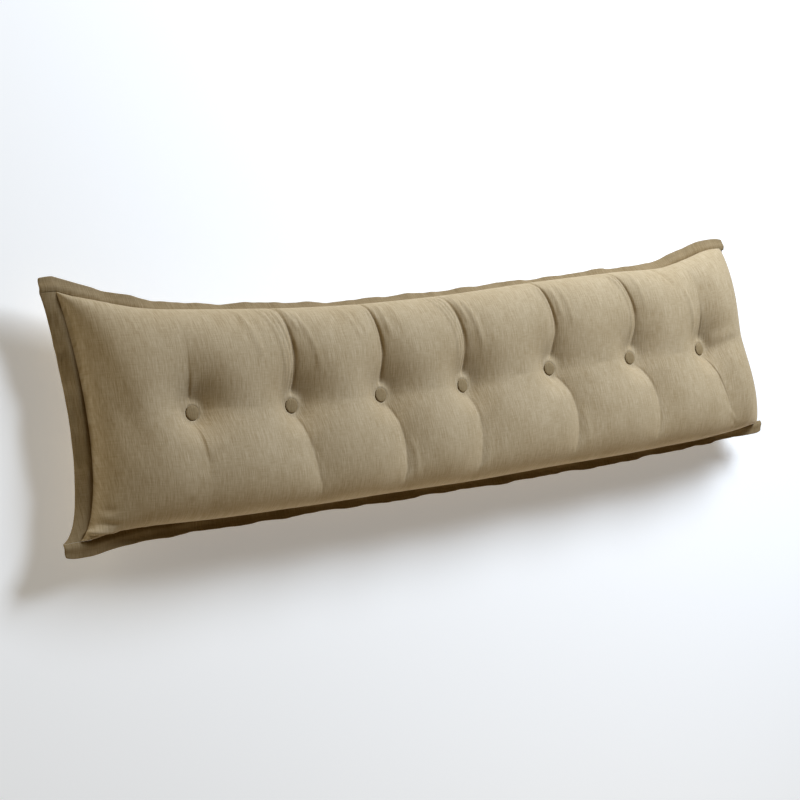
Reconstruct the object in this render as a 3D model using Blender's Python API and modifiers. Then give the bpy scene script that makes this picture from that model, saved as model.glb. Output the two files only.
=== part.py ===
"""Tufted backrest pillow, lying on its back with its face up.

One filled cushion whose crowned face is drawn down by a row of seven covered buttons,
with a flat flange of four folded strips sewn round its seam. Metres, +Z up. The length
runs along X, and the long side that is the top in use faces +Y.
"""

import math
from collections import namedtuple

import bmesh
import bpy
from mathutils import Euler, Vector

# Driving dimensions
LENGTH = 1.93  # corner to corner over the flange, along the bottom
WIDTH = 0.51
FLANGE_WIDTH = 0.030
FLANGE_THICKNESS = 0.003
SEAM_HEIGHT = 0.080  # middle of the seam above the surface it lies on
FACE_CROWN = 0.103  # fullest part of the face above the seam
BACK_CROWN = 0.097  # fullest part of the back below the seam, before it is pressed flat
SEWN_GAP = 0.0003  # between pieces that touch
BUTTON_RADIUS = 0.0145
BUTTON_HEIGHT = 0.0075
BUTTON_COUNT = 7
BUTTON_PITCH = 0.235
SEAT_HEIGHT = 0.049  # underside of the buttons above the seam
SEAT_HALF = 0.0175  # from a button's middle to the first column or row of cells beside it
SEAT_FLAT = 0.025  # radius of the flat that each button is pulled down to
SEAT_BLEND = 0.047  # radius where that flat has run out into the dimple

# Half the length and width inside the seam, at its furthest corner
SEAM_X = LENGTH / 2 - FLANGE_WIDTH
SEAM_Y = WIDTH / 2 - FLANGE_WIDTH

# How far the filling draws in the top and bottom seams, at stations along the length. The
# corners are left standing as ears.
Station = namedtuple("Station", "x top_in bottom_in")
STATIONS = (
    Station(-0.91, 0.000, 0.000),
    Station(-0.85, 0.019, 0.009),
    Station(-0.76, 0.046, 0.011),
    Station(-0.68, 0.059, 0.010),
    Station(-0.50, 0.074, 0.009),
    Station(-0.25, 0.085, 0.005),
    Station(0.10, 0.078, 0.001),
    Station(0.45, 0.065, 0.001),
    Station(0.65, 0.057, 0.006),
    Station(0.75, 0.038, 0.010),
    Station(0.84, 0.017, 0.012),
    Station(0.94, 0.013, 0.013),
)

# How far the middle of each end seam is drawn in, how much more so below the middle than
# above it, and how much its top corner leans in
EndSeam = namedtuple("EndSeam", "side draw skew lean")
LEFT_END = EndSeam(-1, 0.039, 0.45, 0.025)
RIGHT_END = EndSeam(1, 0.039, 0.0, 0.040)
END_CURVE_POWER = 1.4  # a parabola would be 1
END_FLARE_POWER = 10  # how quickly the flare of an end dies out towards the middle

# Where the maker's hand put each button, off the even pitch, and how it leans along X
Tuft = namedtuple("Tuft", "shift_x shift_y lean_deg")
TUFTS = (
    Tuft(0.013, 0.000, 0),
    Tuft(0.004, 0.000, -2),
    Tuft(-0.009, 0.005, 0),
    Tuft(-0.025, 0.003, 4),
    Tuft(-0.005, 0.012, -5),
    Tuft(0.014, 0.008, -3),
    Tuft(0.015, -0.005, 5),
)

# Cross-section of the filling: half the angle of its arc in the middle and at the ends,
# and the length over which the ends round down
ARC_MIDDLE = math.radians(105)
ARC_END = math.radians(80)
END_ROUND = 0.112

# Depths that the tufting takes off the face, as shares of the crown
CREASE_DEPTH = 0.20
LOBE_POWER = 0.7  # lower makes the creases narrower and the lobes between them rounder
DIMPLE_DEPTH = 0.22
DIMPLE_REACH = 0.055
DIMPLE_POWER = 1.3
VALLEY_DEPTH = 0.07
VALLEY_REACH = 0.16  # share of the half width

# Ripples of the flange's outer edge: wavelength, height and where the first one starts
Ripple = namedtuple("Ripple", "wavelength height start")
RIPPLES = (Ripple(0.31, 0.0022, 0.10), Ripple(0.137, 0.0020, 0.03), Ripple(0.083, 0.0012, 0.05))
RIPPLE_FADE = 0.12  # length from a corner over which the ripples grow
SCALLOP = 0.5  # how much of a ripple shows in the flange's width
CORNER_RADIUS = 0.009

# How far the flange's outer edge hangs below its seam: at the corners, which stay nearly
# level, and further along each kind of seam
CORNER_DROOP = 0.005
LONG_DROOP = 0.016
DROOP_GROWS = 0.30  # length from a corner over which it grows to that

# Cells of the meshes
CELLS_PER_GAP = 5  # from a button's seat to the middle of the gap beside it
CELLS_PER_END = 9
CELLS_PER_HALF_WIDTH = 11
CELLS_ACROSS_FLANGE = 3
CELL_EASE = 0.55  # how far the columns crowd towards the buttons
BUTTON_SEGMENTS = 20


def ease(low, high, value):
    """0 below low, 1 above high, and a smooth step between."""
    t = min(1.0, max(0.0, (value - low) / (high - low)))
    return t * t * (3 - 2 * t)


def drawn_in(x, column):
    """The chosen column of STATIONS at x, on a smooth curve through the rows."""
    rows = [(station.x, getattr(station, column)) for station in STATIONS]
    x = min(max(x, rows[0][0]), rows[-1][0])
    place = next(i for i in range(1, len(rows)) if x <= rows[i][0])
    before, low, high, after = (rows[min(max(i, 0), len(rows) - 1)] for i in range(place - 2, place + 2))
    span = high[0] - low[0]
    slope_low = (high[1] - before[1]) / (high[0] - before[0])
    slope_high = (after[1] - low[1]) / (after[0] - low[0])
    t = (x - low[0]) / span
    value = low[1] + (high[1] - low[1]) * t * t * (3 - 2 * t)
    return value + span * t * (1 - t) * (slope_low * (1 - t) - slope_high * t)


def long_seam_y(x, side):
    """Y of the top seam (side 1) or bottom seam (side -1) at x."""
    return side * (SEAM_Y - drawn_in(x, "top_in" if side > 0 else "bottom_in"))


def seam_x(u, v):
    """X of the cloth's own coordinates: even along the row of buttons, and flaring at the ends."""
    end = LEFT_END if u < 0 else RIGHT_END
    middle = SEAM_X - end.draw - end.lean / 2
    flare = end.draw * (1 - (1 - v * v) ** END_CURVE_POWER * (1 - end.skew * v)) - end.lean * v / 2
    return end.side * (abs(u) * middle + abs(u) ** END_FLARE_POWER * flare)


def u_at_row(x):
    """The u whose x on the row of buttons is the one given."""
    end = LEFT_END if x < 0 else RIGHT_END
    return x / (SEAM_X - end.draw - end.lean / 2)


def width_at(x):
    """Middle and half of the width between the long seams at x."""
    top = long_seam_y(x, 1)
    bottom = long_seam_y(x, -1)
    return (top + bottom) / 2, (top - bottom) / 2


def button_places():
    """The x, y and lean of each button, near the middle line of the face."""
    places = []
    for number, tuft in enumerate(TUFTS):
        x = (number - (BUTTON_COUNT - 1) / 2) * BUTTON_PITCH + tuft.shift_x
        places.append((x, width_at(x)[0] + tuft.shift_y, math.radians(tuft.lean_deg)))
    return places


BUTTONS = button_places()


def row_shift(x):
    """How far the row of buttons runs off the middle line at x."""
    stops = [(-SEAM_X, 0.0)] + [(b[0], t.shift_y) for b, t in zip(BUTTONS, TUFTS)] + [(SEAM_X, 0.0)]
    for (left, shift_left), (right, shift_right) in zip(stops, stops[1:]):
        if x <= right:
            return shift_left + (shift_right - shift_left) * ease(left, right, x)
    return 0.0


def plan_point(u, v):
    """Plan position of the cloth's own coordinates u along and v across, each from -1 to 1."""
    x = seam_x(u, v)
    middle, half = width_at(x)
    arc = ARC_END + (ARC_MIDDLE - ARC_END) * (1 - abs(u) ** 6)
    y = middle + row_shift(x) * (1 - v * v) + half * math.sin(arc * v) / math.sin(arc)
    fullness = (math.cos(arc * v) - math.cos(arc)) / (1 - math.cos(arc))
    return x, y, fullness


def end_fullness(u):
    """How full the cushion is at u: 1 along its length, rounding down to 0 at the ends."""
    depth = min(1.0, (1 - abs(u)) * SEAM_X / END_ROUND)
    return math.sqrt(max(0.0, 1 - (1 - depth) ** 2))


def tufted_share(x, y, v):
    """Share of the crown that the tufting leaves at a point of the face."""
    place, row, _ = min(BUTTONS, key=lambda button: abs(button[0] - x))
    across = min(1.0, abs(x - place) / (BUTTON_PITCH / 2))
    lobe = (1 - (1 - across) ** 2) ** LOBE_POWER
    crease = CREASE_DEPTH * (1 - lobe) * (1 - v * v)
    dimple = DIMPLE_DEPTH * math.exp(-((math.hypot(x - place, y - row) / DIMPLE_REACH) ** DIMPLE_POWER))
    valley = VALLEY_DEPTH * math.exp(-((v / VALLEY_REACH) ** 2))
    return 1 - crease - dimple - valley


def seat(x, y, height):
    """The height of the face, pulled to the flat seat of a button that is near."""
    for place, row, lean in BUTTONS:
        off = math.hypot(x - place, y - row)
        flat = SEAM_HEIGHT + SEAT_HEIGHT - math.tan(lean) * (x - place)
        height = flat + (height - flat) * ease(SEAT_FLAT, SEAT_BLEND, off)
    return height


def face_point(u, v):
    x, y, fullness = plan_point(u, v)
    crown = FACE_CROWN * fullness * end_fullness(u) * tufted_share(x, y, v)
    return Vector((x, y, seat(x, y, SEAM_HEIGHT + FLANGE_THICKNESS / 2 + crown)))


def back_point(u, v):
    x, y, fullness = plan_point(u, v)
    crown = BACK_CROWN * fullness * end_fullness(u)
    return Vector((x, y, max(0.0, SEAM_HEIGHT - FLANGE_THICKNESS / 2 - crown)))


def column_levels():
    """u of the mesh's columns: close together at each button and at the ends."""
    levels = []
    stops = [seam_x(-1, 0)] + [place for place, _, _ in BUTTONS] + [seam_x(1, 0)]
    for left, right in zip(stops, stops[1:]):
        at_left_end, at_right_end = left == stops[0], right == stops[-1]
        start = left if at_left_end else left + SEAT_HALF
        span = (right if at_right_end else right - SEAT_HALF) - start
        cells = CELLS_PER_END if at_left_end or at_right_end else 2 * CELLS_PER_GAP
        if not at_left_end:
            levels.append(left)
        for cell in range(cells + 1):
            eased = (1 - math.cos(math.pi * cell / cells)) / 2
            levels.append(start + span * (CELL_EASE * eased + (1 - CELL_EASE) * cell / cells))
    return [u_at_row(x) for x in levels]


def row_levels():
    """v of the mesh's rows: a seat's width in the middle, then closer towards the seams."""
    _, half = width_at(0.0)
    first = math.asin(SEAT_HALF / half * math.sin(ARC_MIDDLE)) / ARC_MIDDLE
    upper = [0.0, first]
    for cell in range(1, CELLS_PER_HALF_WIDTH):
        upper.append(first + (1 - first) * math.sin(math.pi / 2 * cell / (CELLS_PER_HALF_WIDTH - 1)))
    return [-v for v in reversed(upper[1:])] + upper


COLUMNS = column_levels()
ROWS = row_levels()


def grid_block(cells_x, cells_y):
    """A box of one layer of cells, whose vertices stand at whole numbers to be moved later."""
    block = bmesh.new()
    bmesh.ops.create_cube(block, size=1.0)
    bmesh.ops.translate(block, verts=block.verts, vec=(0.5, 0.5, 0.5))
    bmesh.ops.scale(block, verts=block.verts, vec=(cells_x, cells_y, 1))
    for axis, cells in ((0, cells_x), (1, cells_y)):
        along = [e for e in block.edges if abs(e.verts[0].co[axis] - e.verts[1].co[axis]) > 0.5]
        bmesh.ops.subdivide_edges(block, edges=along, cuts=cells - 1, use_grid_fill=True)
    return block


def new_object(name, block, material):
    mesh = bpy.data.meshes.new(name)
    block.to_mesh(mesh)
    block.free()
    mesh.materials.append(material)
    mesh.shade_smooth()
    mesh.set_sharp_from_angle(angle=math.radians(50))
    made = bpy.data.objects.new(name, mesh)
    collection.objects.link(made)
    return made


def make_cushion(material):
    block = grid_block(len(COLUMNS) - 1, len(ROWS) - 1)
    for vertex in block.verts:
        column, row, layer = (round(part) for part in vertex.co)
        point_of = face_point if layer else back_point
        vertex.co = point_of(COLUMNS[column], ROWS[row])
    return new_object("cushion", block, material)


def ripple(along, from_corner):
    """Height of the flange's ripple at its outer edge."""
    height = sum(r.height * math.sin(2 * math.pi * (along - r.start) / r.wavelength) for r in RIPPLES)
    return height * ease(0.0, RIPPLE_FADE, from_corner)


def long_droop(from_corner):
    return CORNER_DROOP + (LONG_DROOP - CORNER_DROOP) * ease(0.0, DROOP_GROWS, from_corner)


def flange_height(hang, wave, layer):
    """Z of the flange, from how far it hangs below its seam there and its ripple there."""
    return SEAM_HEIGHT - hang + wave + (layer - 0.5) * FLANGE_THICKNESS


def round_corners(block, at_corner):
    """Rounds the upright edges of a strip whose vertices are at its outer corners."""
    upright = [e for e in block.edges if all(v in at_corner for v in e.verts)]
    bmesh.ops.bevel(
        block, geom=upright, offset=CORNER_RADIUS, segments=4, profile=0.5,
        affect="EDGES", material=-1, clamp_overlap=True,
    )


def make_long_strip(name, side, phase, material):
    """The strip along the top (side 1) or bottom (side -1) seam, which runs on over both corners."""
    along = [seam_x(u, side) for u in COLUMNS]
    stations = [along[0] - FLANGE_WIDTH] + along + [along[-1] + FLANGE_WIDTH]
    block = grid_block(len(stations) - 1, CELLS_ACROSS_FLANGE)
    corners = set()
    for vertex in block.verts:
        station, cell, layer = (round(part) for part in vertex.co)
        x = stations[station]
        on_seam = min(max(x, along[0]), along[-1])
        beyond = abs(x - on_seam) / FLANGE_WIDTH
        share = cell / CELLS_ACROSS_FLANGE
        from_corner = min(on_seam - along[0], along[-1] - on_seam)
        droop = long_droop(from_corner)
        wave = ripple(x + phase, from_corner)
        inner = long_seam_y(on_seam, side) + side * SEWN_GAP
        reach = math.sqrt(FLANGE_WIDTH ** 2 - droop ** 2) - SEWN_GAP + SCALLOP * wave
        hang = (droop * share ** 2 + CORNER_DROOP * beyond ** 2) * (1 - 0.5 * share * beyond)
        vertex.co = (x, inner + side * share * reach, flange_height(hang, wave * share, layer))
        if station in (0, len(stations) - 1) and cell == CELLS_ACROSS_FLANGE:
            corners.add(vertex)
    round_corners(block, corners)
    bmesh.ops.recalc_face_normals(block, faces=block.faces)
    return new_object(name, block, material)


def make_end_strip(name, side, phase, material):
    """The strip along an end seam, between the two long strips."""
    block = grid_block(CELLS_ACROSS_FLANGE, len(ROWS) - 1)
    for vertex in block.verts:
        cell, row, layer = (round(part) for part in vertex.co)
        inner, y, _ = plan_point(side, ROWS[row])
        share = cell / CELLS_ACROSS_FLANGE
        wave = ripple(y + phase, SEAM_Y - abs(y))
        reach = FLANGE_WIDTH - SEWN_GAP + SCALLOP * wave
        x = inner + side * (SEWN_GAP + share * reach)
        vertex.co = (x, y, flange_height(CORNER_DROOP * share ** 2, wave * share, layer))
    bmesh.ops.recalc_face_normals(block, faces=block.faces)
    return new_object(name, block, material)


def button_profile(material):
    """Half the section of a covered button, from its domed top down to its flat underside."""
    half_section = (
        (0.00, 1.00), (0.45, 0.95), (0.80, 0.76), (0.97, 0.50),
        (1.00, 0.34), (0.94, 0.12), (0.82, 0.00), (0.00, 0.00),
    )
    profile = bmesh.new()
    points = [profile.verts.new((r * BUTTON_RADIUS, 0, z * BUTTON_HEIGHT)) for r, z in half_section]
    for pair in zip(points, points[1:]):
        profile.edges.new(pair)
    mesh = bpy.data.meshes.new("covered_button")
    profile.to_mesh(mesh)
    profile.free()
    mesh.materials.append(material)
    return mesh


def make_buttons(material):
    mesh = button_profile(material)
    for number, (x, y, lean) in enumerate(BUTTONS, start=1):
        made = bpy.data.objects.new(f"button_{number}", mesh)
        collection.objects.link(made)
        turn = made.modifiers.new("turn", "SCREW")
        turn.steps = turn.render_steps = BUTTON_SEGMENTS
        turn.use_merge_vertices = True
        turn.merge_threshold = 0.00005
        turn.use_smooth_shade = True
        made.rotation_euler = Euler((0, lean, 0))
        made.location = (x, y, SEAM_HEIGHT + SEAT_HEIGHT + SEWN_GAP / math.cos(lean))


def cloth_material(name, colour):
    """Slubbed linen-look polyester, matt."""
    made = bpy.data.materials.new(name)
    made.use_nodes = True
    shader = made.node_tree.nodes["Principled BSDF"]
    shader.inputs["Base Color"].default_value = (*colour, 1.0)
    shader.inputs["Roughness"].default_value = 0.9
    shader.inputs["Metallic"].default_value = 0.0
    return made


for old in list(bpy.data.objects):
    bpy.data.objects.remove(old)
collection = bpy.data.collections.new("backrest_pillow")
bpy.context.scene.collection.children.link(collection)

make_cushion(cloth_material("cushion_cloth", (0.42, 0.35, 0.24)))
flange_cloth = cloth_material("flange_cloth", (0.38, 0.31, 0.21))
make_long_strip("flange_top", 1, 0.0, flange_cloth)
make_long_strip("flange_bottom", -1, 0.4, flange_cloth)
make_end_strip("flange_left", -1, 0.2, flange_cloth)
make_end_strip("flange_right", 1, 0.7, flange_cloth)
make_buttons(cloth_material("button_cloth", (0.42, 0.35, 0.24)))
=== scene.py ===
"""Looks of the tufted backrest pillow: its filled body, its flange and its covered buttons."""
import math
from collections import namedtuple

import bmesh
import bpy
from mathutils import Euler, Matrix, Vector, noise


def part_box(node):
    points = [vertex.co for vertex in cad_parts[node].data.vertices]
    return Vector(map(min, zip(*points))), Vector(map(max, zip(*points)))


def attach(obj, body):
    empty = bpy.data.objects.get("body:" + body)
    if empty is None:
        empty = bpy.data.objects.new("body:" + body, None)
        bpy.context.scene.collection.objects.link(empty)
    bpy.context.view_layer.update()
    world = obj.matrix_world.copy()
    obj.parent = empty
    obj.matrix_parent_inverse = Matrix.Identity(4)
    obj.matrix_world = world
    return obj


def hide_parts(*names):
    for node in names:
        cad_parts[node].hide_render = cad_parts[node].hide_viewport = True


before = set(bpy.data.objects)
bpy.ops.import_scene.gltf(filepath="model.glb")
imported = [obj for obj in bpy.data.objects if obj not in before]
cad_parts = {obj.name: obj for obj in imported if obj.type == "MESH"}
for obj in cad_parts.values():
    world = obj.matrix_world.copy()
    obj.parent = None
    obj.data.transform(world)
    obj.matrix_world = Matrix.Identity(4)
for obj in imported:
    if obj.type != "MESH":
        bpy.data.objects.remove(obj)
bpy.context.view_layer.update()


# The camera of the photograph, from a fit to the flange's corners and the row of buttons.
# It looks at the face from the left, 39 degrees off its normal and about 3.8 m away.
CAMERA_AT = Vector((-2.5265, -0.1293, 2.975))
CAMERA_FORWARD = Vector((0.6335, 0.0216, -0.7735)).normalized()
CAMERA_UP = Vector((0.1006, 0.9888, 0.1100))
FOCAL_PIXELS = 1821.0
FRAME_PIXELS = 800
SENSOR_MM = 36.0

camera_right = CAMERA_FORWARD.cross(CAMERA_UP).normalized()
camera_up = camera_right.cross(CAMERA_FORWARD)
turn = Matrix((camera_right, camera_up, -CAMERA_FORWARD)).transposed()
lens = bpy.data.cameras.new("photo_camera")
lens.sensor_width = SENSOR_MM
lens.lens = FOCAL_PIXELS / FRAME_PIXELS * SENSOR_MM
camera = bpy.data.objects.new("photo_camera", lens)
camera.matrix_world = Matrix.Translation(CAMERA_AT) @ turn.to_4x4()
bpy.context.collection.objects.link(camera)
bpy.context.scene.camera = camera


# The seam round the filled body, where its front, its back and the flange are sewn together.
# The filling draws the long seams in between their corners, which stand up as ears.
SEAM_HEIGHT = 0.080
FLANGE_WIDTH = 0.030
SEAM_X = 1.93 / 2 - FLANGE_WIDTH
SEAM_Y = 0.51 / 2 - FLANGE_WIDTH

# How far the top seam and the bottom seam are drawn in at places along X.
Station = namedtuple("Station", "x top_in bottom_in")
STATIONS = (
    Station(-0.91, 0.000, 0.000),
    Station(-0.85, 0.019, 0.009),
    Station(-0.76, 0.046, 0.011),
    Station(-0.68, 0.059, 0.010),
    Station(-0.50, 0.074, 0.009),
    Station(-0.25, 0.085, 0.005),
    Station(0.10, 0.078, 0.001),
    Station(0.45, 0.065, 0.001),
    Station(0.65, 0.057, 0.006),
    Station(0.75, 0.038, 0.010),
    Station(0.84, 0.017, 0.012),
    Station(0.94, 0.013, 0.013),
)

# The side of each end seam, how far its middle is drawn in, how much that shifts towards the
# bottom, and how far its top corner leans inwards.
EndSeam = namedtuple("EndSeam", "side draw skew lean")
LEFT_END = EndSeam(-1, 0.039, 0.45, 0.025)
RIGHT_END = EndSeam(1, 0.039, 0.0, 0.040)
END_CURVE_POWER = 1.4
END_FLARE_POWER = 10  # keeps the flare of an end close to its seam


def ease(low, high, value):
    """0 below low, 1 above high, and a smooth step between."""
    t = min(1.0, max(0.0, (value - low) / max(high - low, 1e-9)))
    return t * t * (3 - 2 * t)


def drawn_in(x, column):
    """The chosen column of STATIONS at x, on a smooth curve through the rows."""
    rows = [(station.x, getattr(station, column)) for station in STATIONS]
    x = min(max(x, rows[0][0]), rows[-1][0])
    place = next(i for i in range(1, len(rows)) if x <= rows[i][0])
    before, low, high, after = (rows[min(max(i, 0), len(rows) - 1)] for i in range(place - 2, place + 2))
    span = high[0] - low[0]
    slope_low = (high[1] - before[1]) / (high[0] - before[0])
    slope_high = (after[1] - low[1]) / (after[0] - low[0])
    t = (x - low[0]) / span
    value = low[1] + (high[1] - low[1]) * t * t * (3 - 2 * t)
    return value + span * t * (1 - t) * (slope_low * (1 - t) - slope_high * t)


def long_seam_y(x, side):
    """Y of the top seam (side 1) or bottom seam (side -1) at x."""
    return side * (SEAM_Y - drawn_in(x, "top_in" if side > 0 else "bottom_in"))


def seam_x(u, v):
    """X of the cloth's coordinates: even along the row of buttons, flaring at the ends."""
    end = LEFT_END if u < 0 else RIGHT_END
    middle = SEAM_X - end.draw - end.lean / 2
    flare = end.draw * (1 - (1 - v * v) ** END_CURVE_POWER * (1 - end.skew * v)) - end.lean * v / 2
    return end.side * (abs(u) * middle + abs(u) ** END_FLARE_POWER * flare)


def u_at_row(x):
    """The u whose x on the row of buttons is the one given."""
    end = LEFT_END if x < 0 else RIGHT_END
    return x / (SEAM_X - end.draw - end.lean / 2)


def width_at(x):
    """Middle and half of the width between the long seams at x."""
    top = long_seam_y(x, 1)
    bottom = long_seam_y(x, -1)
    return (top + bottom) / 2, (top - bottom) / 2


# The row of tufts. The threads of each button run through the filling and pull the face down
# into a dimple, from which a crease runs up to the top seam and another down to the bottom.
Tuft = namedtuple(
    "Tuft",
    "x y tilt bow_above end_above bow_below end_below crease_above crease_below soft_above soft_below",
)
BUTTON_COUNT = 7
# The lean of each button in degrees. Of its crease above and then of its crease below: how far
# it bows out along X and where it ends beside the button; after that the depth of each beside
# the deepest, and how soft each has become at the seam.
TUFT_SHAPES = (
    (0, -0.002, -0.010, -0.003, 0.004, 0.50, 0.32, 0.90, 0.80),
    (-2, 0.014, -0.012, 0.008, 0.035, 1.00, 0.80, 0.06, 0.50),
    (0, 0.012, -0.018, 0.024, 0.005, 1.00, 1.00, 0.03, 0.35),
    (4, 0.018, -0.035, 0.024, -0.040, 1.00, 0.90, 0.05, 0.45),
    (-5, 0.025, -0.020, 0.040, 0.005, 1.00, 1.00, 0.03, 0.30),
    (-3, 0.028, -0.040, 0.038, 0.018, 1.00, 0.85, 0.04, 0.40),
    (5, 0.010, -0.020, 0.010, 0.080, 0.75, 0.72, 0.50, 0.95),
)
TUFTS = []
for number, (tilt, *shape) in enumerate(TUFT_SHAPES, start=1):
    low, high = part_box(f"button_{number}")
    TUFTS.append(Tuft((low.x + high.x) / 2, (low.y + high.y) / 2, math.radians(tilt), *shape))


def eased_through(stops, x):
    """Goes through the stops, each an x and a value, with a smooth step between neighbours."""
    for (left, low), (right, high) in zip(stops, stops[1:]):
        if x <= right:
            return low + (high - low) * ease(left, right, x)
    return stops[-1][1]


def along_tufts(x, values):
    """A value that each tuft has one of, at any x along the row; it is 0 at both end seams."""
    stops = [(seam_x(-1, 0), 0.0), *((t.x, value) for t, value in zip(TUFTS, values)), (seam_x(1, 0), 0.0)]
    return eased_through(stops, x)


ROW_SHIFTS = [tuft.y - width_at(tuft.x)[0] for tuft in TUFTS]
BOWS_ABOVE = [tuft.bow_above for tuft in TUFTS]
ENDS_ABOVE = [tuft.end_above for tuft in TUFTS]
BOWS_BELOW = [tuft.bow_below for tuft in TUFTS]
ENDS_BELOW = [tuft.end_below for tuft in TUFTS]
BOW_SCALE = 256 / 27  # makes the bow's highest value 1, a quarter of the way to the seam


def crease_lean(row_x, v):
    """How far along X the thread line that crosses the row at row_x has moved at v."""
    bow = along_tufts(row_x, BOWS_ABOVE if v > 0 else BOWS_BELOW)
    end = along_tufts(row_x, ENDS_ABOVE if v > 0 else ENDS_BELOW)
    away = abs(v)
    return bow * BOW_SCALE * away * (1 - away) ** 3 + end * away


# The filled body: a front and a back of slubbed linen-look polyester, sewn together round
# the edge and filled with fibre until they crown. The tufts draw the front down into lobes;
# the back is smooth, and flat where the pillow lies on it.
FLANGE_THICKNESS = 0.003
FACE_CROWN = 0.106
BACK_CROWN = 0.097
# Each half of the section across is an arc; past 90 degrees it bulges out over its flange.
ARC_TOP = math.radians(111)
ARC_BOTTOM = math.radians(112)
END_ARC_POWER = 6  # how late along u each arc turns into the one of its end
# How far from the seam each end rounds over, how much it bulges out there, how plump its
# corners are, and the arc of its section.
End = namedtuple("End", "rounds_over bulge plumpness arc")
LEFT_BODY = End(0.290, 0.0, 0.6, math.radians(88))
RIGHT_BODY = End(0.110, 0.020, 0.5, math.radians(100))
BULGE_SCALE = 4  # makes an end's bulge, where it is widest, the one given
LOW_FILL = 0.05  # share of the crown that has sunk from the upper half into the lower one
LOWER_POWER = 0.66  # squares the lower half of the section, so that it turns under late
END_HALF_GAP = 0.117  # half of the lobe beyond the first and the last button
CREASE_DEPTH = 0.26  # share of the crown that the deepest crease takes away
CREASE_POWER = 0.62  # below 1, so that lobes are full and the creases between them thin
FADE_ABOVE = (0.22, 0.85)  # where along v the creases above the buttons fade away
FADE_BELOW = (0.25, 0.9)
SOFT_START = 0.25  # share of its softness that a crease has at its button
SOFT_GROWS = 0.8  # power by which it softens on the way to the seam
CREASE_AT_BUTTON = 0.7  # share of its depth that a crease has where it leaves its button
CREASE_FULL_AT = 0.12  # along v
VALLEY_DEPTH = 0.23  # share of the crown that the valley along the row takes away
VALLEY_REACH = 0.50  # how far along v its sides rise
VALLEY_POWER = 0.85
VALLEY_STARTS = (-0.86, -0.70)  # where along X it deepens from the smooth left end
VALLEY_SOFT = (0.09, 0.34)  # how soft it is beside the tuft on its left, and far from it
VALLEY_SOFTENS = (0.05, 0.18)
DIMPLE_DEPTH = 0.56  # share of the crown that a tuft takes away at its button
DIMPLE_POWER = 0.95
REACH_ABOVE = 0.128  # radius of a dimple above its button, and then below it
REACH_BELOW = 0.078
SEAT_HEIGHT = 0.049  # of the cloth under a button, over the seam
SEAT_FLAT = 0.0148  # radius that lies flat under a button
SEAT_BLEND = 0.034
GAP_COLUMNS = 29  # cells between two buttons, and then between the last one and its end seam
END_COLUMNS = 30
GAP_CROWDING = 0.7
END_CROWDING = 0.85
FRONT_ROWS = 84
ROW_SPACING = 0.45  # of the rows at the buttons, beside even ones
BACK_STEP = 4  # rows of the front beside each row of the back


def end_rounding(u):
    """0 at the end seams, rising to 1 where an end has rounded over into the full crown."""
    depth = min(1.0, (1 - abs(u)) * SEAM_X / (LEFT_BODY if u < 0 else RIGHT_BODY).rounds_over)
    return math.sqrt(max(0.0, 1 - (1 - depth) ** 2))


def plan_point(u, v):
    """Plan position of the cloth's coordinates u along and v across, each from -1 to 1."""
    x = seam_x(u, v) + crease_lean(seam_x(u, 0), v)
    middle, half = width_at(x)
    end = LEFT_BODY if u < 0 else RIGHT_BODY
    arc = end.arc + ((ARC_TOP if v > 0 else ARC_BOTTOM) - end.arc) * (1 - abs(u) ** END_ARC_POWER)
    y = middle + along_tufts(x, ROW_SHIFTS) * (1 - v * v) + half * math.sin(arc * v) / math.sin(arc)
    fullness = (math.cos(arc * v) - math.cos(arc)) / (1 - math.cos(arc))
    rounded = end_rounding(u)
    x += math.copysign(BULGE_SCALE * end.bulge * rounded * (1 - rounded) * max(0.0, fullness), u)
    return x, y, fullness


def crown(u, fullness):
    """How full the body is, from 0 at the seams to 1; its corners are plump, and its ends round."""
    lengthwise = end_rounding(u)
    plumpness = (LEFT_BODY if u < 0 else RIGHT_BODY).plumpness
    either = lengthwise + fullness - lengthwise * fullness
    plump = lengthwise * fullness / either if either > 0 else 0.0
    return plumpness * plump + (1 - plumpness) * lengthwise * fullness


def lobe(away, power, soft=0.0):
    """Section of a padded lobe: 0 in the crease beside it, which may be soft, and 1 at its top."""
    away = min(1.0, away)
    away = (math.hypot(away, soft) - soft) / (math.hypot(1.0, soft) - soft)
    return (1 - (1 - away) ** 2) ** power


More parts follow.
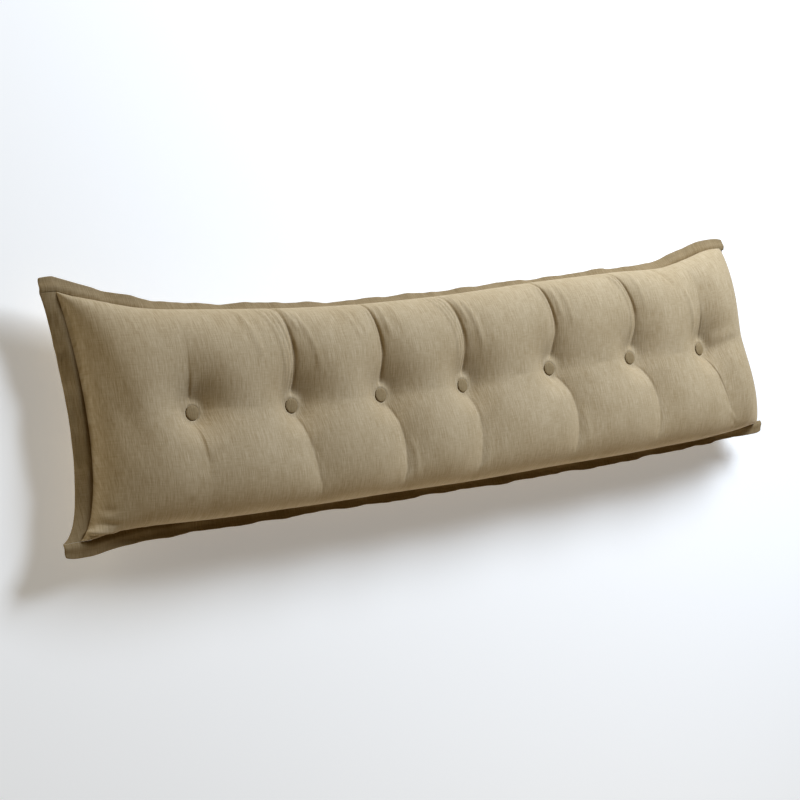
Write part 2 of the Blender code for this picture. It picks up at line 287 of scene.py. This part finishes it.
def tufted_share(row_x, x, y, v):
    """Share of the crown that the tufting leaves at a point of the face."""
    place = min(range(BUTTON_COUNT), key=lambda i: abs(TUFTS[i].x - row_x))
    tuft = TUFTS[place]
    other = place + (1 if row_x > tuft.x else -1)
    half_gap = abs(TUFTS[other].x - tuft.x) / 2 if 0 <= other < BUTTON_COUNT else END_HALF_GAP
    depth, soft = (tuft.crease_above, tuft.soft_above) if v > 0 else (tuft.crease_below, tuft.soft_below)
    soft *= SOFT_START + (1 - SOFT_START) * abs(v) ** SOFT_GROWS
    section = lobe(abs(row_x - tuft.x) / half_gap, CREASE_POWER, soft)
    fade = FADE_ABOVE if v > 0 else FADE_BELOW
    leaving = CREASE_AT_BUTTON + (1 - CREASE_AT_BUTTON) * ease(0, CREASE_FULL_AT, abs(v))
    crease = CREASE_DEPTH * depth * (1 - section) * leaving * (1 - ease(*fade, abs(v)))
    past = min((row_x - near.x for near in TUFTS if near.x < row_x), default=1.0)
    blunt = VALLEY_SOFT[0] + (VALLEY_SOFT[1] - VALLEY_SOFT[0]) * ease(*VALLEY_SOFTENS, past)
    section = lobe(abs(v) / VALLEY_REACH, VALLEY_POWER, blunt)
    valley = VALLEY_DEPTH * ease(*VALLEY_STARTS, row_x) * (1 - section)
    share = (1 - crease) * (1 - valley)
    for near in TUFTS:
        off = math.hypot(x - near.x, y - near.y)
        reach = REACH_BELOW + (REACH_ABOVE - REACH_BELOW) * ease(-off, off, y - near.y)
        share *= 1 - DIMPLE_DEPTH * (1 - lobe(off / reach, DIMPLE_POWER))
    return share


def face_point(u, v):
    """A point of the tufted front, before the filling has pushed it out between its tufts."""
    x, y, fullness = plan_point(u, v)
    share = tufted_share(seam_x(u, 0), x, y, v) * (1 - LOW_FILL * math.sin(math.pi * v))
    fullness = max(0.0, fullness) ** (LOWER_POWER if v < 0 else 1.0)
    height = SEAM_HEIGHT + FLANGE_THICKNESS / 2 + FACE_CROWN * crown(u, fullness) * share
    for tuft in TUFTS:
        off = math.hypot(x - tuft.x, y - tuft.y)
        if off < SEAT_BLEND:
            flat = SEAM_HEIGHT + SEAT_HEIGHT - math.tan(tuft.tilt) * (x - tuft.x)
            height = flat + (height - flat) * ease(SEAT_FLAT, SEAT_BLEND, off)
    return Vector((x, y, height))


def back_point(u, v):
    """A point of the smooth back, which the surface that it lies on presses flat."""
    x, y, fullness = plan_point(u, v)
    return Vector((x, y, max(0.0, SEAM_HEIGHT - FLANGE_THICKNESS / 2 - BACK_CROWN * crown(u, fullness))))


def column_levels():
    """u of the body's columns, crowding towards the buttons."""
    levels = []
    stops = [seam_x(-1, 0), *(tuft.x for tuft in TUFTS), seam_x(1, 0)]
    for left, right in zip(stops, stops[1:]):
        at_end = left == stops[0] or right == stops[-1]
        cells = END_COLUMNS if at_end else GAP_COLUMNS
        crowding = END_CROWDING if at_end else GAP_CROWDING
        for cell in range(cells):
            eased = (1 - math.cos(math.pi * cell / cells)) / 2
            share = crowding * eased + (1 - crowding) * cell / cells
            levels.append(u_at_row(left + (right - left) * share))
    return levels + [1.0]


def lengths_along(points):
    """Distance along a line of points, from its first."""
    lengths = [0.0]
    for before, after in zip(points, points[1:]):
        lengths.append(lengths[-1] + (after - before).length)
    return lengths


COLUMNS = column_levels()
EVEN_ROWS = [2 * row / FRONT_ROWS - 1 for row in range(FRONT_ROWS + 1)]
ROWS = [v * (ROW_SPACING + (1 - ROW_SPACING) * v * v) for v in EVEN_ROWS]


def add_panel(shell, point_of, row_step, side):
    """The front (side 1) or back (side -1), with its cut cloth's own metres as its UV map."""
    cells_x, cells_y = len(COLUMNS) - 1, FRONT_ROWS // row_step
    panel = bmesh.new()
    uv_map = panel.loops.layers.uv.new("cloth")
    row_x = panel.verts.layers.float.new("row_x")
    row_v = panel.verts.layers.float.new("row_v")
    bmesh.ops.create_grid(panel, x_segments=cells_x, y_segments=cells_y, size=0.5)
    bmesh.ops.translate(panel, verts=panel.verts, vec=(0.5, 0.5, 0))
    bmesh.ops.scale(panel, verts=panel.verts, vec=(cells_x, FRONT_ROWS, 1))
    ends = [e for e in panel.edges if e.is_boundary and abs(e.verts[0].co.x - e.verts[1].co.x) < 0.5]
    if row_step > 1:
        bmesh.ops.subdivide_edges(panel, edges=ends, cuts=row_step - 1)
    across = lengths_along([point_of(0.0, v) for v in ROWS])
    places = {vertex: (round(vertex.co.x), round(vertex.co.y)) for vertex in panel.verts}
    for vertex, (column, row) in places.items():
        vertex.co = point_of(COLUMNS[column], ROWS[row])
        vertex[row_x] = seam_x(COLUMNS[column], 0)
        vertex[row_v] = ROWS[row] * side
    for face in panel.faces:
        for loop in face.loops:
            loop[uv_map].uv = (loop.vert.co.x, across[places[loop.vert][1]])
    if side < 0:
        bmesh.ops.reverse_faces(panel, faces=panel.faces)
    mesh = bpy.data.meshes.new("panel")
    panel.to_mesh(mesh)
    panel.free()
    shell.from_mesh(mesh)
    bpy.data.meshes.remove(mesh)


def add_object(name, shape):
    """An object of the finished bmesh, smooth shaded."""
    mesh = bpy.data.meshes.new(name)
    shape.to_mesh(mesh)
    shape.free()
    mesh.shade_smooth()
    made = bpy.data.objects.new(name, mesh)
    bpy.context.collection.objects.link(made)
    return made


def add_subdivision(piece, levels):
    """Rounds the piece off, except where its edges are creased."""
    smooth = piece.modifiers.new("smooth", "SUBSURF")
    smooth.levels = smooth.render_levels = levels
    smooth.boundary_smooth = "PRESERVE_CORNERS"


shell = bmesh.new()
shell.loops.layers.uv.new("cloth")
shell.verts.layers.float.new("row_x")
shell.verts.layers.float.new("row_v")
creases = shell.edges.layers.float.new("crease_edge")
add_panel(shell, face_point, 1, 1)
add_panel(shell, back_point, BACK_STEP, -1)
rim = [edge for edge in shell.edges if edge.is_boundary]
bmesh.ops.bridge_loops(shell, edges=rim)
for edge in rim:
    edge[creases] = 1.0
body = add_object("cushion_body", shell)


# The filling pushes the cloth out between its seams and tufts, and what the cloth has to
# spare along X gathers into folds. The seams, the back and the seats of the buttons hold.
PRESSURE = 4.0
SETTLE_FRAMES = 20
SPARE_CLOTH = 1.015  # length of the cut cloth along X beside the sewn one
MOST_MOVED = 0.022
HELD_TO_SHAPE = 0.10  # share of its shape that the face keeps, and then beside the tufts
HELD_NEAR_TUFTS = 0.8
TUFT_HOLD = (0.04, 0.11)  # distances from a button between which its hold eases off
SEWN_FROM = 0.999  # along v


def how_held(vertex):
    """1 where sewing, the floor or a button holds the cloth, and less where the filling does."""
    row_v = body.data.attributes["row_v"].data[vertex.index].value
    seated = min(math.hypot(vertex.co.x - tuft.x, vertex.co.y - tuft.y) for tuft in TUFTS)
    if vertex.co.z < SEAM_HEIGHT + FLANGE_THICKNESS or abs(row_v) > SEWN_FROM or seated < SEAT_FLAT:
        return 1.0
    return HELD_NEAR_TUFTS + (HELD_TO_SHAPE - HELD_NEAR_TUFTS) * ease(*TUFT_HOLD, seated)


def settle(piece):
    """Blender's cloth simulation, with its result put into the mesh."""
    before = [vertex.co.copy() for vertex in piece.data.vertices]
    held = piece.vertex_groups.new(name="held")
    for vertex in piece.data.vertices:
        held.add([vertex.index], how_held(vertex), "REPLACE")
    piece.shape_key_add(name="sewn")
    cut = piece.shape_key_add(name="cut")
    for point in cut.data:
        point.co.x *= SPARE_CLOTH
    cloth = piece.modifiers.new("cloth", "CLOTH")
    cloth.settings.quality = 6
    cloth.settings.mass = 0.3
    cloth.settings.tension_stiffness = 15
    cloth.settings.compression_stiffness = 10
    cloth.settings.shear_stiffness = 3
    cloth.settings.bending_stiffness = 1.0
    cloth.settings.vertex_group_mass = held.name
    cloth.settings.rest_shape_key = cut
    cloth.settings.use_pressure = True
    cloth.settings.uniform_pressure_force = PRESSURE
    cloth.settings.effector_weights.gravity = 0
    cloth.collision_settings.use_collision = False
    cloth.point_cache.frame_end = SETTLE_FRAMES
    for number in range(1, SETTLE_FRAMES + 1):
        bpy.context.scene.frame_set(number)
    depsgraph = bpy.context.evaluated_depsgraph_get()
    after = [vertex.co.copy() for vertex in piece.evaluated_get(depsgraph).data.vertices]
    piece.modifiers.remove(cloth)
    piece.shape_key_clear()
    piece.vertex_groups.remove(held)
    bpy.context.scene.frame_set(1)
    for vertex, old, new in zip(piece.data.vertices, before, after):
        move = new - old
        vertex.co = old + move * min(1.0, MOST_MOVED / max(move.length, 1e-9))


settle(body)


# What the simulation is too coarse for: the folds in which the spare cloth gathers at the
# tufts and corners, the cloth that closes in round each button, and puckers along the seams.
RIM_TOP = 0.0162  # radius where the cloth stands highest round a button
RIM_END = 0.036
RIM_RISE = 0.0018
PUCKER_HEIGHT = 0.0014
PUCKER_LENGTH = 0.016
PUCKERS_ACROSS = 2
PUCKER_FROM = 0.80
NOISE_SLICE = 0.5  # the plane through Blender's noise that puckers and dents are read from
ACROSS = 0.27  # metres of cloth from the row of buttons to either long seam
FOLD_RISE = 0.22  # share of its length over which a fold rises, and then over which it fades
FOLD_FADE = 0.3
FOLD_REACH = 3  # widths of a fold past which it no longer lifts the cloth
Fold = namedtuple("Fold", "tuft start v_start end v_end height width")
# Each fold starts and ends beside the crease of a tuft, at a share of the way to the seam; a
# negative height is a groove.
FOLDS = (
    Fold(1, -0.212, -0.74, -0.140, -0.92, 0.0040, 0.0085),
    Fold(1, -0.205, -0.84, -0.130, -0.97, -0.0045, 0.0070),
    Fold(1, -0.205, -0.64, -0.150, -0.78, -0.0035, 0.0070),
    Fold(1, -0.200, -0.54, -0.160, -0.62, -0.0020, 0.0070),
    Fold(1, -0.215, 0.85, -0.120, -0.35, -0.0060, 0.0280),
    Fold(2, 0.003, 0.16, 0.002, 0.92, -0.0026, 0.0030),
    Fold(3, 0.002, 0.16, 0.001, 0.94, -0.0030, 0.0028),
    Fold(4, 0.003, 0.16, 0.002, 0.92, -0.0026, 0.0030),
    Fold(5, 0.002, 0.16, 0.001, 0.94, -0.0032, 0.0028),
    Fold(6, 0.003, 0.16, 0.001, 0.92, -0.0028, 0.0028),
    Fold(2, -0.020, 0.06, -0.048, 0.84, 0.0030, 0.0036),
    Fold(2, -0.012, 0.04, -0.032, 0.82, 0.0034, 0.0034),
    Fold(2, -0.004, 0.02, -0.017, 0.80, 0.0034, 0.0032),
    Fold(2, 0.052, 0.12, 0.024, 0.70, 0.0020, 0.0055),
    Fold(2, 0.022, 0.40, 0.008, 0.80, 0.0020, 0.0050),
    Fold(2, -0.080, 0.22, -0.100, 0.74, 0.0028, 0.0055),
    Fold(2, -0.060, 0.40, -0.072, 0.76, 0.0014, 0.0045),
    Fold(3, -0.056, 0.30, -0.078, 0.70, 0.0018, 0.0045),
    Fold(3, -0.036, 0.30, -0.050, 0.64, 0.0014, 0.0045),
    Fold(3, -0.004, 0.12, -0.007, 0.68, 0.0022, 0.0045),
    Fold(3, 0.020, 0.32, 0.028, 0.70, 0.0022, 0.0050),
    Fold(3, 0.050, 0.36, 0.060, 0.72, 0.0014, 0.0050),
    Fold(4, -0.021, 0.08, -0.043, 0.82, 0.0030, 0.0034),
    Fold(4, -0.013, 0.06, -0.029, 0.82, 0.0034, 0.0034),
    Fold(4, -0.005, 0.04, -0.016, 0.80, 0.0034, 0.0032),
    Fold(4, 0.036, 0.14, 0.032, 0.66, 0.0028, 0.0055),
    Fold(4, 0.016, 0.34, 0.018, 0.74, 0.0024, 0.0050),
    Fold(5, -0.004, 0.12, -0.008, 0.68, 0.0024, 0.0045),
    Fold(5, 0.040, 0.20, 0.048, 0.66, 0.0018, 0.0055),
    Fold(5, 0.018, 0.26, 0.022, 0.60, 0.0016, 0.0050),
    Fold(6, -0.012, 0.06, -0.022, 0.78, 0.0032, 0.0036),
    Fold(6, -0.003, 0.06, -0.008, 0.74, 0.0030, 0.0034),
    Fold(6, 0.028, 0.26, 0.052, 0.74, 0.0018, 0.0050),
    Fold(7, -0.080, 0.40, -0.100, 0.76, -0.0024, 0.0045),
    Fold(7, -0.120, 0.50, -0.137, 0.70, -0.0018, 0.0045),
    Fold(7, -0.030, 0.10, -0.058, 0.46, 0.0030, 0.0060),
    Fold(7, 0.022, 0.03, 0.115, 0.04, 0.0028, 0.0100),
    Fold(7, -0.032, -0.10, -0.060, -0.40, 0.0020, 0.0060),
    Fold(3, 0.012, -0.24, 0.030, -0.60, 0.0016, 0.0060),
    Fold(5, 0.010, -0.22, 0.034, -0.56, 0.0014, 0.0060),
    Fold(4, 0.014, -0.26, 0.020, -0.62, 0.0008, 0.0060),
)


def fold_lift(row_x, v):
    """How far the folds lift the cloth at a place of the front."""
    lift = 0.0
    for fold in FOLDS:
        run_x, run_y = fold.end - fold.start, (fold.v_end - fold.v_start) * ACROSS
        x, y = row_x - TUFTS[fold.tuft - 1].x - fold.start, (v - fold.v_start) * ACROSS
        length = math.hypot(run_x, run_y)
        along = (x * run_x + y * run_y) / length ** 2
        away = (x * run_y - y * run_x) / length / fold.width
        if 0 < along < 1 and abs(away) < FOLD_REACH:
            ends = ease(0, FOLD_RISE, along) * ease(0, FOLD_FADE, 1 - along)
            lift += fold.height * math.exp(-away * away) * ends
    return lift


add_subdivision(body, 1)
depsgraph = bpy.context.evaluated_depsgraph_get()
fine = bpy.data.meshes.new_from_object(body.evaluated_get(depsgraph), depsgraph=depsgraph)
coarse = body.data
body.modifiers.clear()
body.data = fine
bpy.data.meshes.remove(coarse)
row_x_of = fine.attributes["row_x"].data
row_v_of = fine.attributes["row_v"].data
lifts = []
for vertex in fine.vertices:
    lift = 0.0
    if vertex.co.z > SEAM_HEIGHT + FLANGE_THICKNESS:
        x, v = row_x_of[vertex.index].value, row_v_of[vertex.index].value
        pucker = noise.noise((x / PUCKER_LENGTH, v * PUCKERS_ACROSS, NOISE_SLICE))
        lift = fold_lift(x, v) + PUCKER_HEIGHT * ease(PUCKER_FROM, 1.0, abs(v)) * pucker
        off = min(math.hypot(vertex.co.x - tuft.x, vertex.co.y - tuft.y) for tuft in TUFTS)
        lift += RIM_RISE * ease(SEAT_FLAT, RIM_TOP, off) * (1 - ease(RIM_TOP, RIM_END, off))
    lifts.append(vertex.normal * lift)
for vertex, lift in zip(fine.vertices, lifts):
    vertex.co += lift
fine.shade_smooth()


def linear(hex_colour):
    """An sRGB hex colour as the linear values that the shaders take."""
    parts = [int(hex_colour[i:i + 2], 16) / 255 for i in (1, 3, 5)]
    return [c / 12.92 if c <= 0.04045 else ((c + 0.055) / 1.055) ** 2.4 for c in parts] + [1.0]


def add_node(material, kind, inputs, **settings):
    """A node with its settings, and its inputs as values or as the sockets that feed them."""
    node = material.node_tree.nodes.new(kind)
    for name, value in settings.items():
        setattr(node, name, value)
    for name, value in inputs.items():
        if isinstance(value, bpy.types.NodeSocket):
            material.node_tree.links.new(value, node.inputs[name])
        else:
            node.inputs[name].default_value = value
    return node


# Slubbed linen-look polyester, plain woven. Its thick and thin warp yarns run from the bottom
# seam to the top one, and give the eye short pale and dark streaks; it is matt, with a soft
# fuzz that pales it at a glancing angle. Real yarns are half as wide, too fine to show here.
Yarn = namedtuple("Yarn", "wide_mm long_mm detail")
YARNS = {
    "slubs": Yarn(2.2, 40.0, 1.0),
    "warp": Yarn(1.1, 16.0, 1.0),
    "weft": Yarn(25.0, 1.5, 1.0),
    "uneven dye": Yarn(60.0, 140.0, 2.0),
}
WEFT_SHARE = 0.4
WEAVE_SHARE = 0.6
UNEVEN_SHARE = 0.15
DARKEST, PALEST = 0.34, 0.66  # streaks that get the whole of the dark and of the pale colour


def linen(name, pale, dark, fuzz):
    """The cloth in two colours; its UV map lays the warp along V, in metres."""
    made = bpy.data.materials.new(name)
    made.use_nodes = True
    shader = made.node_tree.nodes["Principled BSDF"]
    cloth = add_node(made, "ShaderNodeUVMap", {}, uv_map="cloth").outputs["UV"]
    yarns = {}
    for kind, yarn in YARNS.items():
        scale = (1000 / yarn.wide_mm, 1000 / yarn.long_mm, 1.0)
        laid = add_node(made, "ShaderNodeMapping", {"Vector": cloth, "Scale": scale})
        inputs = {"Vector": laid.outputs["Vector"], "Scale": 1.0, "Detail": yarn.detail, "Roughness": 0.55}
        yarns[kind] = add_node(made, "ShaderNodeTexNoise", inputs, noise_dimensions="2D").outputs["Fac"]
    weave = add_node(made, "ShaderNodeMix", {0: WEFT_SHARE, 2: yarns["warp"], 3: yarns["weft"]}).outputs[0]
    streaks = add_node(made, "ShaderNodeMix", {0: WEAVE_SHARE, 2: yarns["slubs"], 3: weave}).outputs[0]
    tone = add_node(made, "ShaderNodeMix", {0: UNEVEN_SHARE, 2: streaks, 3: yarns["uneven dye"]}).outputs[0]
    ramp = add_node(made, "ShaderNodeMapRange", {"Value": tone, "From Min": DARKEST, "From Max": PALEST})
    colour = add_node(
        made, "ShaderNodeMix",
        {0: ramp.outputs["Result"], 6: linear(dark), 7: linear(pale)},
        data_type="RGBA",
    )
    bump = add_node(made, "ShaderNodeBump", {"Height": streaks, "Strength": 0.35, "Distance": 0.0012})
    made.node_tree.links.new(colour.outputs[2], shader.inputs["Base Color"])
    made.node_tree.links.new(bump.outputs["Normal"], shader.inputs["Normal"])
    shader.inputs["Roughness"].default_value = 0.78
    shader.inputs["Specular IOR Level"].default_value = 0.25
    shader.inputs["Sheen Weight"].default_value = fuzz
    shader.inputs["Sheen Roughness"].default_value = 0.5
    shader.inputs["Sheen Tint"].default_value = linear(pale)
    return made


body_linen = linen("slubbed_linen_look", "#c0ad8c", "#a08a65", 0.5)
body.data.materials.append(body_linen)
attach(body, "root")
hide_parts("cushion")


# The flange: four strips of the same cloth, each folded lengthwise and sewn flat into the
# seam. The long ones run on over the corners. All ripple, and all but the bottom one droop.
SEWN_GAP = 0.0003
CORNER_DROOP = 0.005
CORNER_STIFFNESS = 0.5  # share of the droop of its two sides that a corner itself resists
TOP_DROOP = 0.012
BOTTOM_DROOP = -0.005  # it stands up a little, towards the crown that bulges over it
LEFT_DROOP = 0.013
RIGHT_DROOP = 0.005
DROOP_GROWS = 0.30  # distance from a corner over which a long strip's droop grows
SCALLOP = 0.5  # how far the edge waves in and out beside how far it waves up and down
RIPPLE_FADE = 0.12
Ripple = namedtuple("Ripple", "wavelength height start")
RIPPLES = (
    Ripple(0.31, 0.0022, 0.10),
    Ripple(0.137, 0.0020, 0.03),
    Ripple(0.083, 0.0014, 0.05),
    Ripple(0.037, 0.0006, 0.01),
)
DENT_HEIGHT = 0.0060
DENT_LENGTH = 0.022
DENTS_DEEPEST = 0.65  # share of the way across the flange
ROLL_HEIGHT = 0.0030  # how high the flange puffs up beside its stitching
ROLL_WIDTH = 0.625  # share of the flange's width
ACROSS_FLANGE = 6
FLANGE_CROWDING = 0.8  # below 1, so that its cells are narrower towards its outer edge
OVER_CORNER = 5
BUTT_SHARPNESS = 0.8
# How round each corner is cut, from 0, square, to 1, and how far it flares.
Corner = namedtuple("Corner", "rounding flare")


def ripple(along, from_corner):
    """Height of the flange's ripple at its outer edge."""
    height = sum(r.height * math.sin(2 * math.pi * (along - r.start) / r.wavelength) for r in RIPPLES)
    return height * ease(0.0, RIPPLE_FADE, from_corner)


def slab(cells_x, cells_y, sewn):
    """A layer of cells one cell thick, whose vertices stand at whole numbers to be moved. Each
    sewn side is an axis, a place on it and how sharp the edges there stay."""
    block = bmesh.new()
    bmesh.ops.create_cube(block, size=1.0)
    bmesh.ops.translate(block, verts=block.verts, vec=(0.5, 0.5, 0.5))
    bmesh.ops.scale(block, verts=block.verts, vec=(cells_x, cells_y, 1))
    for axis, cells in ((0, cells_x), (1, cells_y)):
        along = [e for e in block.edges if abs(e.verts[0].co[axis] - e.verts[1].co[axis]) > 0.5]
        bmesh.ops.subdivide_edges(block, edges=along, cuts=cells - 1, use_grid_fill=True)
    creases = block.edges.layers.float.new("crease_edge")
    for edge in block.edges:
        for axis, place, sharpness in sewn:
            if all(abs(vertex.co[axis] - place) < 0.5 for vertex in edge.verts):
                edge[creases] = sharpness
    return block


def strip_height(hang, wave, layer):
    """Height of the lower (layer 0) or upper (layer 1) cloth of a strip."""
    return SEAM_HEIGHT - hang + wave + (layer - 0.5) * FLANGE_THICKNESS


# The same cloth in darker colours, with painted shade for the shade of the crown over the flange.
painted_shade_strip_linen = linen("slubbed_linen_look_painted_shade_strip", "#988462", "#7c6743", 0.4)


def finish_strip(name, block):
    uv_map = block.loops.layers.uv.new("cloth")
    for face in block.faces:
        for loop in face.loops:
            loop[uv_map].uv = (loop.vert.co.x, loop.vert.co.y)
    bmesh.ops.recalc_face_normals(block, faces=block.faces)
    strip = add_object(f"{name}_strip", block)
    add_subdivision(strip, 2)
    strip.data.materials.append(painted_shade_strip_linen)
    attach(strip, "root")
    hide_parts(name)


def dented(x, y, share):
    """Height of the roll beside the stitching, and of the soft dents that the sewing leaves."""
    roll = ROLL_HEIGHT * math.sin(math.pi * min(1.0, share / ROLL_WIDTH))
    dent = noise.noise((x / DENT_LENGTH, y / DENT_LENGTH, NOISE_SLICE))
    return roll + DENT_HEIGHT * share * (2 * DENTS_DEEPEST - share) * dent


def long_strip(name, side, phase, corners):
    """The strip along the top (side 1) or bottom (side -1) seam, over both of its corners."""
    along = [seam_x(u, side) for u in COLUMNS]
    over = [FLANGE_WIDTH * step / OVER_CORNER for step in range(1, OVER_CORNER + 1)]
    stations = [along[0] - step for step in reversed(over)] + along + [along[-1] + step for step in over]
    block = slab(len(stations) - 1, ACROSS_FLANGE, [(1, 0, 1.0)])
    for vertex in block.verts:
        station, cell, layer = (round(part) for part in vertex.co)
        x = stations[station]
        corner = corners[0] if x < 0 else corners[1]
        on_seam = min(max(x, along[0]), along[-1])
        beyond = abs(x - on_seam) / FLANGE_WIDTH
        share = (cell / ACROSS_FLANGE) ** FLANGE_CROWDING
        from_corner = min(on_seam - along[0], along[-1] - on_seam)
        hangs = TOP_DROOP if side > 0 else BOTTOM_DROOP
        droop = CORNER_DROOP + (hangs - CORNER_DROOP) * ease(0.0, DROOP_GROWS, from_corner)
        wave = ripple(x + phase, from_corner)
        inner = long_seam_y(on_seam, side) + side * SEWN_GAP
        reach = math.sqrt(FLANGE_WIDTH ** 2 - droop ** 2) - SEWN_GAP + SCALLOP * wave
        hang = (droop * share ** 2 + CORNER_DROOP * beyond ** 2) * (1 - CORNER_STIFFNESS * share * beyond)
        cut_back = math.sqrt(1 - corner.rounding * share ** 2 / 2)
        out = beyond * cut_back * (FLANGE_WIDTH + corner.flare * share)
        across = share * math.sqrt(1 - corner.rounding * beyond ** 2 / 2)
        lift = wave * share + dented(x, inner, share)
        x = on_seam + math.copysign(out, x)
        vertex.co = (x, inner + side * across * reach, strip_height(hang, lift, layer))
    finish_strip(name, block)


def end_strip(name, side, phase, hangs):
    """The strip along an end seam, between the two long strips."""
    butts = [(1, 0, BUTT_SHARPNESS), (1, FRONT_ROWS, BUTT_SHARPNESS)]
    block = slab(ACROSS_FLANGE, FRONT_ROWS, [(0, 0, 1.0), *butts])
    for vertex in block.verts:
        cell, row, layer = (round(part) for part in vertex.co)
        inner, y, _ = plan_point(side, ROWS[row])
        share = (cell / ACROSS_FLANGE) ** FLANGE_CROWDING
        wave = ripple(y + phase, SEAM_Y - abs(y))
        x = inner + side * (SEWN_GAP + share * (FLANGE_WIDTH - SEWN_GAP + SCALLOP * wave))
        from_corner = ease(0.0, RIPPLE_FADE, SEAM_Y - abs(y))
        lift = wave * share + dented(x, y, share) * from_corner
        hang = (CORNER_DROOP + (hangs - CORNER_DROOP) * from_corner) * share ** 2
        vertex.co = (x, y, strip_height(hang, lift, layer))
    finish_strip(name, block)


long_strip("flange_top", 1, 0.0, (Corner(0.25, 0.0), Corner(0.45, 0.0)))
long_strip("flange_bottom", -1, 0.4, (Corner(0.55, 0.003), Corner(0.60, 0.001)))
end_strip("flange_left", -1, 0.2, LEFT_DROOP)
end_strip("flange_right", 1, 0.7, RIGHT_DROOP)


# Seven buttons: domed blanks covered with the same cloth, tied down by threads through the
# filling. The cloth is drawn round the rim and tucked under.
BUTTON_RADIUS = 0.0141
BUTTON_HEIGHT = 0.0036
BUTTON_SEGMENTS = 48
MERGED_WITHIN = 0.00002
# Half of the section, from the middle of the dome round the rim to the middle underneath, in
# shares of the radius and of the height.
HALF_SECTION = (
    (0.00, 1.00), (0.35, 0.98), (0.60, 0.93), (0.78, 0.86), (0.89, 0.76), (0.95, 0.64),
    (0.99, 0.48), (1.00, 0.32), (0.98, 0.16), (0.92, 0.05), (0.80, 0.00), (0.00, 0.00),
)

# The same cloth again in darker colours, with painted shade for the shade of the cloth round each button.
painted_shade_button_linen = linen("slubbed_linen_look_painted_shade_button", "#9c8864", "#836d49", 0.4)


def covered_button(name, tuft):
    """A button spun from its section, then laid on its seat."""
    button = bmesh.new()
    points = [button.verts.new((r * BUTTON_RADIUS, 0, z * BUTTON_HEIGHT)) for r, z in HALF_SECTION]
    line = [button.edges.new(pair) for pair in zip(points, points[1:])]
    bmesh.ops.spin(
        button, geom=points + line, cent=(0, 0, 0), axis=(0, 0, 1), dvec=(0, 0, 0),
        angle=2 * math.pi, steps=BUTTON_SEGMENTS, use_merge=True,
    )
    bmesh.ops.remove_doubles(button, verts=button.verts, dist=MERGED_WITHIN)
    bmesh.ops.recalc_face_normals(button, faces=button.faces)
    uv_map = button.loops.layers.uv.new("cloth")
    for face in button.faces:
        for loop in face.loops:
            loop[uv_map].uv = (loop.vert.co.x + tuft.x, loop.vert.co.y)
    height = SEAM_HEIGHT + SEAT_HEIGHT + SEWN_GAP / math.cos(tuft.tilt)
    place = Matrix.Translation((tuft.x, tuft.y, height)) @ Euler((0, tuft.tilt, 0)).to_matrix().to_4x4()
    bmesh.ops.transform(button, matrix=place, verts=button.verts)
    made = add_object(name, button)
    add_subdivision(made, 1)
    made.data.materials.append(painted_shade_button_linen)
    return made


for number, tuft in enumerate(TUFTS, start=1):
    button = covered_button(f"covered_button_{number}", tuft)
    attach(button, "root")
    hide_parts(f"button_{number}")


# A plain pale floor under the pillow, and plain soft studio light: a large cool soft box beyond
# its top right corner, weaker warm ones at its left end and along its bottom edge, and a dim
# warm room round them. The floor gives a little light of its own, as a lit backdrop does.
FLOOR_HALF = 30.0
FLOOR_GLOW = 0.24

floor_shape = bmesh.new()
bmesh.ops.create_grid(floor_shape, x_segments=1, y_segments=1, size=FLOOR_HALF)
floor = add_object("floor", floor_shape)
floor_paint = bpy.data.materials.new("pale_matt_paint")
floor_paint.use_nodes = True
paint = floor_paint.node_tree.nodes["Principled BSDF"]
paint.inputs["Base Color"].default_value = linear("#f4f4f2")
paint.inputs["Roughness"].default_value = 1.0
paint.inputs["Emission Color"].default_value = linear("#ffffff")
paint.inputs["Emission Strength"].default_value = FLOOR_GLOW
floor.data.materials.append(floor_paint)

# The colours of the lamps and of the room are linear values.
Lamp = namedtuple("Lamp", "name place aim colour size watts")
LAMPS = (
    Lamp("key", (1.75, 2.1, 2.4), (0.0, 0.0, 0.1), (0.79, 0.88, 1.02), 1.5, 183),
    Lamp("fill", (-3.8, 1.3, 1.2), (-0.8, 0.0, 0.1), (1.0, 0.92, 0.72), 1.4, 30),
    Lamp("low", (0.2, -3.0, 0.45), (0.2, 0.0, 0.1), (1.0, 0.84, 0.58), 1.0, 22),
)
for lamp in LAMPS:
    light = bpy.data.lights.new(lamp.name, "AREA")
    light.size = lamp.size
    light.energy = lamp.watts
    light.color = lamp.colour
    holder = bpy.data.objects.new(lamp.name, light)
    aimed = (Vector(lamp.aim) - Vector(lamp.place)).to_track_quat("-Z", "Y")
    holder.matrix_world = Matrix.Translation(lamp.place) @ aimed.to_matrix().to_4x4()
    bpy.context.collection.objects.link(holder)

ROOM_COLOUR = (1.0, 0.67, 0.30, 1.0)
ROOM_STRENGTH = 0.05
world = bpy.data.worlds.new("dim_room")
world.use_nodes = True
world.node_tree.nodes["Background"].inputs["Color"].default_value = ROOM_COLOUR
world.node_tree.nodes["Background"].inputs["Strength"].default_value = ROOM_STRENGTH
bpy.context.scene.world = world
bpy.context.scene.view_settings.view_transform = "Standard"
